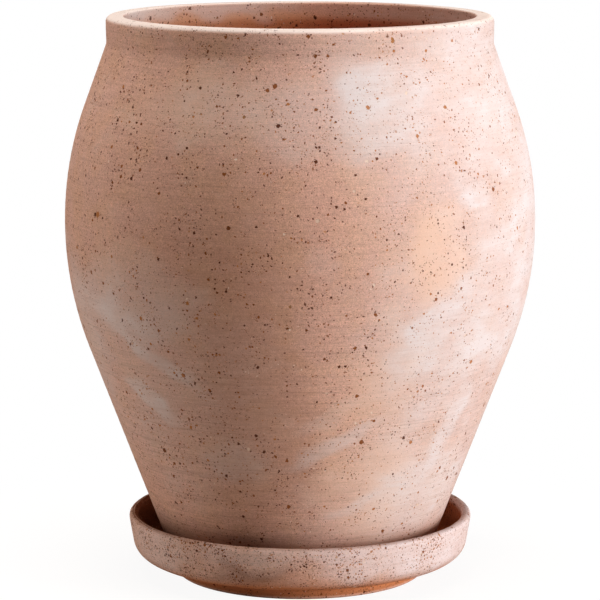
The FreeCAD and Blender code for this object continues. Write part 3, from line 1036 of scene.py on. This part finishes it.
@dataclass
class Saucer(TurnedPiece):
    """The saucer: hollow foot ring, flat underside, round corner, leaning wall and round lip."""

    foot_radius: float = 0.0976
    foot_height: float = 0.0121
    foot_flare: float = 3.8
    foot_edge: float = 0.0030
    foot_crease: float = 0.0055
    ring_width: float = 0.016
    recess: float = 0.006
    recess_round: float = 0.003
    underside: float = 3.5
    corner_round: float = 0.0151
    lean: float = 9.8
    wall: float = 0.0071
    mouth_radius: float = 0.1284
    lip_round_share: float = 0.47
    inner_round: float = 0.010
    hidden_step: float = 0.010
    even_width: float = 0.02
    unroundness: float = 0.00018
    lip_reach: float = 0.008
    lip_unevenness: float = 0.0002
    bare_rise: tuple[float, float] = (0.0115, -0.0005)
    bare_reach: tuple[float, float] = (0.006, -0.004)
    # Painted shade in a dark line round the foot, where its bottom rounding meets the wall
    foot_groove: float = 0.0034
    groove_width: float = 0.0006
    groove_shade: float = 0.45
    # Painted light along the foot's bottom edge, which catches the light from the pale floor
    lit_edge_rise: tuple[float, float] = (0.0030, 0.0020)
    lit_edge_paleness: float = 0.30
    # A rusty line on the lip's crest, darkened further as painted shade under the pot's belly
    crest_depth: tuple[float, float] = (0.0016, 0.0004)
    crest_tinge: float = 0.5
    crest_stain_and_shade: float = 0.25
    hollow_depth: float = 0.006
    mask_fade: tuple[float, float] = (0.004, 0.001)

    def __post_init__(self) -> None:
        """Reads from the frame how high the saucer is and where the pot stands in it."""
        self.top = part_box(self.node)[1].z
        self.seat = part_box("pot")[0].z

    def closed(self) -> bool:
        """The section runs from the axis to the axis."""
        return False

    def corners(self) -> list[Corner]:
        """The section: from the axis under the foot, up the outside, over the lip and back inside.

        The wall and the underside are straight lines from the lip and from the foot's top, and the
        round corner is where they would cross.

        Returns:
            The corners, from the axis to the axis.
        """
        angles = (self.lean, self.foot_flare, self.underside)
        lean, flare, slope = (math.tan(math.radians(angle)) for angle in angles)
        lip_width = self.wall / math.cos(math.radians(self.lean))
        foot_top = self.foot_radius + self.foot_height * flare
        lip_outer = self.mouth_radius + lip_width
        reach = lip_outer - foot_top - (self.top - self.foot_height) * lean
        rise = reach * slope / (1.0 - lean * slope)
        corner_height = self.foot_height + rise
        corner_radius = lip_outer - (self.top - corner_height) * lean
        inner_corner = self.mouth_radius - (self.top - self.seat) * lean
        recess_radius = self.foot_radius - self.ring_width
        lip_round = self.wall * self.lip_round_share
        return [
            Corner(0.0, self.recess, 0.0, self.hidden_step),
            Corner(recess_radius, self.recess, self.recess_round, 0.002),
            Corner(recess_radius, 0.0, self.foot_edge, 0.003),
            Corner(self.foot_radius, 0.0, self.foot_edge, 0.001),
            Corner(foot_top, self.foot_height, self.foot_crease, 0.0015),
            Corner(corner_radius, corner_height, self.corner_round, 0.0012),
            Corner(lip_outer, self.top, lip_round, 0.0007),
            Corner(self.mouth_radius, self.top, lip_round, 0.0015),
            Corner(inner_corner, self.seat, self.inner_round, self.hidden_step),
            Corner(0.0, self.seat),
        ]

    def thinning(self, radius: np.ndarray, height: np.ndarray, turn: np.ndarray) -> np.ndarray:
        """A slightly unround wall and an uneven lip, which fade out at the foot and on the floor.

        Args:
            radius: Distance of the points from the axis.
            height: Heights of the points.
            turn: Angles of the points about the axis in radians.

        Returns:
            How far each point moves towards the axis.
        """
        outward = smooth_step(self.foot_radius, self.foot_radius + self.even_width, radius)
        unround = self.unroundness * (1.0 + SAUCER_UNROUND.at(turn, height))
        near_lip = smooth_step(self.top - self.lip_reach, self.top, height)
        return outward * (unround + self.lip_unevenness * near_lip * (1.0 + SAUCER_LIP.at(turn, height)))

    def place_masks(self, radius: np.ndarray, height: np.ndarray) -> dict[Mask, np.ndarray]:
        """Bare orange clay at the foot and the underside, painted shade in a groove's dark line round the
        foot, painted light along its bottom edge, rust and painted shade on the lip's crest, and the dish's
        hollow.

        Args:
            radius: Distance of the points from the axis.
            height: Heights of the points.

        Returns:
            The value of each mask at every point.
        """
        inner_wall = self.mouth_radius - (self.top - height) * math.tan(math.radians(self.lean))
        far, near = self.mask_fade
        hollow = smooth_step(far, near, radius - inner_wall)
        hollow = hollow * smooth_step(self.seat - far, self.seat - near, height)
        hollow = hollow * smooth_step(self.top, self.top - self.hollow_depth, height)
        low = smooth_step(*(self.foot_height + rise for rise in self.bare_rise), height)
        low = low * smooth_step(*(self.mouth_radius + width for width in self.bare_reach), radius)
        outside = smooth_step(self.foot_radius - far, self.foot_radius - near, radius)
        # Painted shade: a dark line round the foot
        groove = np.exp(-((height - self.foot_groove) / self.groove_width) ** 2) * outside * low
        # Painted light along the foot's bottom edge
        worn_and_lit = smooth_step(*self.lit_edge_rise, height) * outside
        # The crest's rust, darkened further as painted shade
        crest = smooth_step(*(self.top - depth for depth in self.crest_depth), height)
        return {Mask.BLOOM: np.zeros_like(radius),
                Mask.WARM: self.crest_tinge * crest,
                Mask.STAIN: self.groove_shade * groove + self.crest_stain_and_shade * crest,
                Mask.WEAR: self.lit_edge_paleness * worn_and_lit,
                Mask.INSIDE: hollow,
                Mask.BARE: low * (1.0 - hollow)}


def marks(mask: Mask, places: list[tuple[float, ...]], inner: bool = False) -> list[Patch]:
    """Patches of one mask.

    Args:
        mask: The mask.
        places: Azimuth, height, half width, half rise and strength of each patch, and its lean and
            squareness where they aren't the usual ones.
        inner: Whether the patches are on the hollow's side.

    Returns:
        The patches.
    """
    return [Patch(mask, *place, inner=inner) for place in places]


# Spans of the azimuth, height, half width, half rise, strength and lean of patches on the back
BACK_SPANS = ((115.0, 265.0), (0.07, 0.41), (0.030, 0.090), (0.008, 0.026), (0.25, 0.60), (-35.0, 35.0))
WARM_EVERY = 4


def scattered(seed: int, count: int) -> list[Patch]:
    """Seeded patches of bloom and warmth for the side that the photograph doesn't show.

    Args:
        seed: Seed of the draw.
        count: How many patches to draw.

    Returns:
        The patches. One in four is warm, and the others are bloom.
    """
    draw = np.random.default_rng(seed)
    places = zip(*(draw.uniform(low, high, count) for low, high in BACK_SPANS))
    return [Patch(Mask.BLOOM if number % WARM_EVERY else Mask.WARM, *place)
            for number, place in enumerate(places, start=1)]


POT_PATCHES = [
    # Chalky veil with painted light: the whole right side, which faces the key lamp, is made paler and
    # bluer, then come the veil's denser places, some of them painted light too, and the streaks on the left
    *marks(Mask.BLOOM, [
        (82.0, 0.330, 0.250, 0.190, 0.66, 0.0, 4.0), (82.0, 0.145, 0.195, 0.130, 0.58, 0.0, 4.0),
        (30.0, 0.165, 0.050, 0.070, 0.14), (50.0, 0.078, 0.080, 0.045, 0.33, 0.0, 3.0),
        (23.0, 0.212, 0.040, 0.050, 0.20), (35.0, 0.286, 0.044, 0.052, -0.22, 0.0, 3.0),
        (-72.0, 0.205, 0.050, 0.070, 0.30), (80.0, 0.310, 0.085, 0.110, 0.45),
        (22.0, 0.381, 0.050, 0.040, 0.62, 0.0, 4.0), (12.0, 0.398, 0.044, 0.016, 0.25),
        (53.0, 0.241, 0.056, 0.042, 0.74, 38.0, 3.5), (64.0, 0.264, 0.030, 0.040, 0.40),
        (58.0, 0.365, 0.070, 0.056, 0.30), (53.0, 0.292, 0.032, 0.026, 0.22),
        (62.0, 0.424, 0.070, 0.026, 0.30, 0.0, 3.0), (80.0, 0.345, 0.040, 0.080, 0.70, 0.0, 3.0),
        (31.0, 0.206, 0.042, 0.020, 0.62, 42.0, 3.0), (9.0, 0.156, 0.046, 0.010, 0.22, 25.0),
        (46.0, 0.317, 0.026, 0.014, 0.46), (70.0, 0.330, 0.020, 0.050, 0.50),
        (9.0, 0.131, 0.052, 0.012, 0.62, 25.0), (17.0, 0.078, 0.034, 0.010, 0.35, 20.0),
        (50.0, 0.140, 0.016, 0.050, 0.45, -15.0), (-64.0, 0.236, 0.070, 0.030, 0.26, -12.0),
        (-50.0, 0.226, 0.060, 0.018, 0.16, -14.0), (-40.5, 0.193, 0.052, 0.012, 0.85, -26.0),
        (-46.0, 0.156, 0.038, 0.010, 0.72, -30.0), (-60.0, 0.170, 0.090, 0.110, 0.27),
        (-28.0, 0.165, 0.090, 0.120, 0.26), (-27.0, 0.377, 0.060, 0.036, 0.20),
        (-4.0, 0.374, 0.046, 0.040, 0.34), (-20.0, 0.113, 0.036, 0.020, 0.30),
        (-44.0, 0.238, 0.075, 0.050, 0.38)]),
    # The lip is less rubbed at the back and over the veil
    *marks(Mask.WEAR, [
        (188.0, 0.438, 0.150, 0.020, -1.0, 0.0, 4.0), (52.0, 0.438, 0.110, 0.016, -0.35, 0.0, 4.0)]),
    # Ochre tinge
    *marks(Mask.WARM, [
        (46.0, 0.080, 0.085, 0.060, 0.42, 0.0, 3.0), (-30.0, 0.382, 0.080, 0.035, 0.36, 0.0, 3.0),
        (20.5, 0.125, 0.056, 0.110, 0.46, 0.0, 3.0), (34.0, 0.277, 0.037, 0.058, 0.72, 0.0, 2.4),
        (-54.0, 0.279, 0.036, 0.036, 0.30), (-23.0, 0.266, 0.042, 0.040, 0.20),
        (66.5, 0.274, 0.008, 0.018, 0.50, 0.0, 4.0), (29.5, 0.196, 0.008, 0.017, 0.45),
        (25.0, 0.245, 0.040, 0.110, 0.22, 0.0, 3.0)]),
    # Painted shade down the front, left of the middle, between the sides that the two lamps light
    *marks(Mask.STAIN, [
        (-23.0, 0.180, 0.105, 0.190, 0.21), (-11.0, 0.195, 0.054, 0.190, 0.19, 0.0, 3.0)]),
    # Bare orange inside the rim band, on the left
    *marks(Mask.BARE, [
        (216.0, 0.420, 0.150, 0.016, 0.55, 0.0, 3.0), (246.0, 0.430, 0.026, 0.014, 0.35)], inner=True),
    # Lime and wear at the lip's inner edge, on the left, where the lime is also painted light from the key
    # lamp shining in over the right rim
    *marks(Mask.BLOOM, [
        (218.0, 0.443, 0.120, 0.024, 0.34, 0.0, 3.0)], inner=True),
    *marks(Mask.WEAR, [
        (218.0, 0.443, 0.160, 0.022, 0.90, 0.0, 4.0)], inner=True),
    # Ochre tinge below them
    *marks(Mask.WARM, [
        (232.0, 0.430, 0.120, 0.030, 0.45, 0.0, 3.0)], inner=True),
    # Painted shade: darker inside on the right, which faces away from the key lamp
    *marks(Mask.STAIN, [
        (120.0, 0.432, 0.110, 0.030, 0.42)], inner=True),
    # Painted shade: redder inside the rim band, on the right
    *marks(Mask.INSIDE, [
        (145.0, 0.428, 0.110, 0.028, 0.18, 0.0, 3.0)], inner=True),
]

RUST, OCHRE, BROWN = (0.47, 0.20, 0.075), (0.36, 0.17, 0.075), (0.13, 0.042, 0.018)
POT_CHIPS = [
    Chip(26.9, 0.4290, 0.0017, RUST),
    Chip(26.6, 0.4308, 0.0012, RUST),
    Chip(-10.7, 0.1248, 0.0016, BROWN),
    Chip(-14.2, 0.3763, 0.0015, OCHRE),
    Chip(9.7, 0.1940, 0.0014, BROWN),
    Chip(-18.2, 0.1303, 0.0014, BROWN),
    Chip(-27.5, 0.3954, 0.0014, BROWN),
    Chip(-2.3, 0.2407, 0.0014, OCHRE),
]

SAUCER_SPECKS = (
    Specks(cell=0.0014, grain=0.00050, common=0.95, depth=0.00005),
    Specks(cell=0.0022, grain=0.00082, common=0.95, depth=0.00008),
    Specks(cell=0.0064, grain=0.00120, common=0.70, depth=0.00014),
    Specks(cell=0.0165, grain=0.00190, common=0.25, depth=0.00018),
)

SAUCER_PATCHES = [
    # Lime on the wall, with painted light thickest on the right, which faces the key lamp
    *marks(Mask.BLOOM, [
        (-2.0, 0.043, 0.120, 0.011, 0.34, 0.0, 3.0), (-56.0, 0.036, 0.060, 0.024, 0.55),
        (66.0, 0.040, 0.160, 0.026, 1.00, 0.0, 4.0), (175.0, 0.036, 0.110, 0.024, 0.50)]),
    # Smudges on the wall's front
    *marks(Mask.STAIN, [
        (-18.0, 0.022, 0.045, 0.010, 0.24), (-10.0, 0.026, 0.055, 0.020, 0.11),
        (-21.0, 0.033, 0.016, 0.007, 0.28, -45.0), (-9.0, 0.028, 0.024, 0.009, 0.20)]),
    # The foot's orange reaches up in front
    *marks(Mask.BARE, [
        (-6.0, 0.018, 0.055, 0.011, 0.32)]),
    # Painted shade: the dish is darker inside on the left, where the pot shades it
    *marks(Mask.STAIN, [
        (-100.0, 0.034, 0.190, 0.040, 0.90)], inner=True),
]

SAUCER_CLAY = ClayFinish(
    "saucer_clay",
    body=(0.74, 0.475, 0.385),
    bloom=(0.81, 0.668, 0.643),
    # The dish's hollow is painted darker as the shade under the pot, and the stain's dark colour is also
    # painted shade
    hollow=(0.47, 0.130, 0.036),
    stain=Film((0.20, 0.075, 0.035), 1.2, 0.4),
    bare=Film((0.68, 0.245, 0.098), 0.5, 0.85),
    line_tone=0.15,
    crowded_rise=(0.024, 0.040),
    crowded_fall=(11.0, 10.0),
    crowding=0.20,
    veiled_and_lit=0.05,
    specks=SAUCER_SPECKS,
)


# Studio

@dataclass(frozen=True)
class SoftLamp:
    """A square soft box that faces the middle of the pot."""

    use: Lamp
    azimuth: float
    elevation: float
    distance: float
    side: float
    level: float
    colour: Colour

    def place(self, target: Vector) -> None:
        """Hangs the lamp.

        A lamp of power P at distance d gives a facing white surface a brightness of P / (pi d)^2,
        so that a level of 1 shows colours as they are written.

        Args:
            target: The point that it faces.
        """
        azimuth, elevation = math.radians(self.azimuth), math.radians(self.elevation)
        level = math.cos(elevation)
        away = Vector((math.sin(azimuth) * level, -math.cos(azimuth) * level, math.sin(elevation)))
        data = bpy.data.lights.new(self.use.value, "AREA")
        data.shape, data.size, data.color = "SQUARE", self.side, self.colour
        data.energy = self.level * (math.pi * self.distance) ** 2
        lamp = bpy.data.objects.new(self.use.value, data)
        lamp.location = target + away * self.distance
        lamp.rotation_mode = "QUATERNION"
        lamp.rotation_quaternion = away.to_track_quat("Z", "Y")
        bpy.context.scene.collection.objects.link(lamp)


@dataclass(frozen=True)
class Studio:
    """Pale floor, white surroundings, soft lamps and the camera at the photograph's place."""

    camera_back: float = 2.386
    camera_height: float = 0.617
    camera_pitch: float = 9.55
    lens: float = 185.6
    sensor: float = 36.0
    aim_height: float = 0.23
    floor_half: float = 15.0
    ambient: float = 0.03
    ambient_colour: Colour = (1.0, 0.88, 0.78)
    floor_colour: Colour = (0.57, 0.525, 0.48)
    floor_level: float = 0.36
    shadow_near: float = 0.13
    shadow_far: float = 0.40
    shadow_share: float = 0.22
    lamps: tuple[SoftLamp, ...] = (
        SoftLamp(Lamp.KEY, azimuth=65.0, elevation=6.0, distance=2.4, side=0.8, level=0.91,
                 colour=(0.985, 1.0, 1.03)),
        SoftLamp(Lamp.HIGH, azimuth=50.0, elevation=36.0, distance=2.4, side=0.9, level=0.11,
                 colour=(1.0, 0.97, 0.94)),
        SoftLamp(Lamp.FILL, azimuth=-98.0, elevation=12.0, distance=2.4, side=1.2, level=0.37,
                 colour=(1.0, 0.93, 0.87)),
        SoftLamp(Lamp.TOP, azimuth=-30.0, elevation=85.0, distance=2.2, side=1.4, level=0.84,
                 colour=(1.0, 0.96, 0.92)),
    )

    def build(self) -> None:
        """Sets up everything round the object."""
        for lamp in self.lamps:
            lamp.place(Vector((0.0, 0.0, self.aim_height)))
        self.surroundings()
        self.floor()
        self.camera()
        bpy.context.scene.view_settings.view_transform = "Standard"

    def surroundings(self) -> None:
        """A world that looks white and lights the object softly."""
        world = bpy.data.worlds.new("surroundings")
        bench = Workbench(world)
        seen = bench.node("ShaderNodeLightPath", {}, {}, "Is Camera Ray")
        glow = bench.node("ShaderNodeBackground", {},
                          {"Color": self.ambient_colour, "Strength": self.ambient})
        white = bench.node("ShaderNodeBackground", {}, {"Color": WHITE, "Strength": 1.0})
        bench.surface(bench.mixed(seen, glow, white), "ShaderNodeOutputWorld")
        bpy.context.scene.world = world

    def floor(self) -> None:
        """A wide pale floor that keeps the object's shadow near it and looks white further off.

        The camera sees a part s of the floor's own lit surface near the object, and for the rest a
        white of (1 - s level) / (1 - s), which makes up for what the lamps leave off that surface.
        """
        half = self.floor_half
        corners = np.array([(-half, -half, 0.0), (half, -half, 0.0), (half, half, 0.0), (-half, half, 0.0)])
        made = make_mesh("floor", corners, np.array([[0, 1, 2, 3]]), np.empty((0, 3), int))
        material = bpy.data.materials.new("floor")
        bench = Workbench(material)
        distance = bench.node("ShaderNodeVectorMath", {"operation": "LENGTH"}, {0: bench.place()}, "Value")
        share = distance.step(self.shadow_far, self.shadow_near) * self.shadow_share
        seen = bench.node("ShaderNodeLightPath", {}, {}, "Is Camera Ray")
        matt = bench.node("ShaderNodeBsdfDiffuse", {}, {"Color": self.floor_colour}, "BSDF")
        light = bench.scaled(WHITE, (1.0 - share * self.floor_level) / (1.0 - share))
        white = bench.node("ShaderNodeEmission", {}, {"Color": light, "Strength": 1.0}, "Emission")
        bench.surface(bench.mixed(seen * (1.0 - share), matt, white))
        made.data.materials.append(material)

    def camera(self) -> None:
        """The camera, level with the photograph's."""
        data = bpy.data.cameras.new("camera")
        data.lens, data.sensor_width = self.lens, self.sensor
        camera = bpy.data.objects.new("camera", data)
        camera.location = (0.0, -self.camera_back, self.camera_height)
        camera.rotation_euler = (math.radians(90.0 - self.camera_pitch), 0.0, 0.0)
        bpy.context.scene.collection.objects.link(camera)
        bpy.context.scene.camera = camera


def main() -> None:
    """Builds the studio, the saucer and the pot."""
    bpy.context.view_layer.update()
    Studio().build()
    saucer = Saucer("clay_saucer", "saucer", "saucer", "saucer_clay", patches=SAUCER_PATCHES)
    saucer.dress(saucer.build(), SAUCER_CLAY)
    pot_patches = POT_PATCHES + scattered(seed=61, count=30)
    pot = Pot("clay_pot", "pot", "pot", "pot_clay", divisions=270, patches=pot_patches)
    pot.dress(pot.build(), ClayFinish("pot_clay", chips=pot.placed(POT_CHIPS)))


if __name__ == "__main__":
    main()
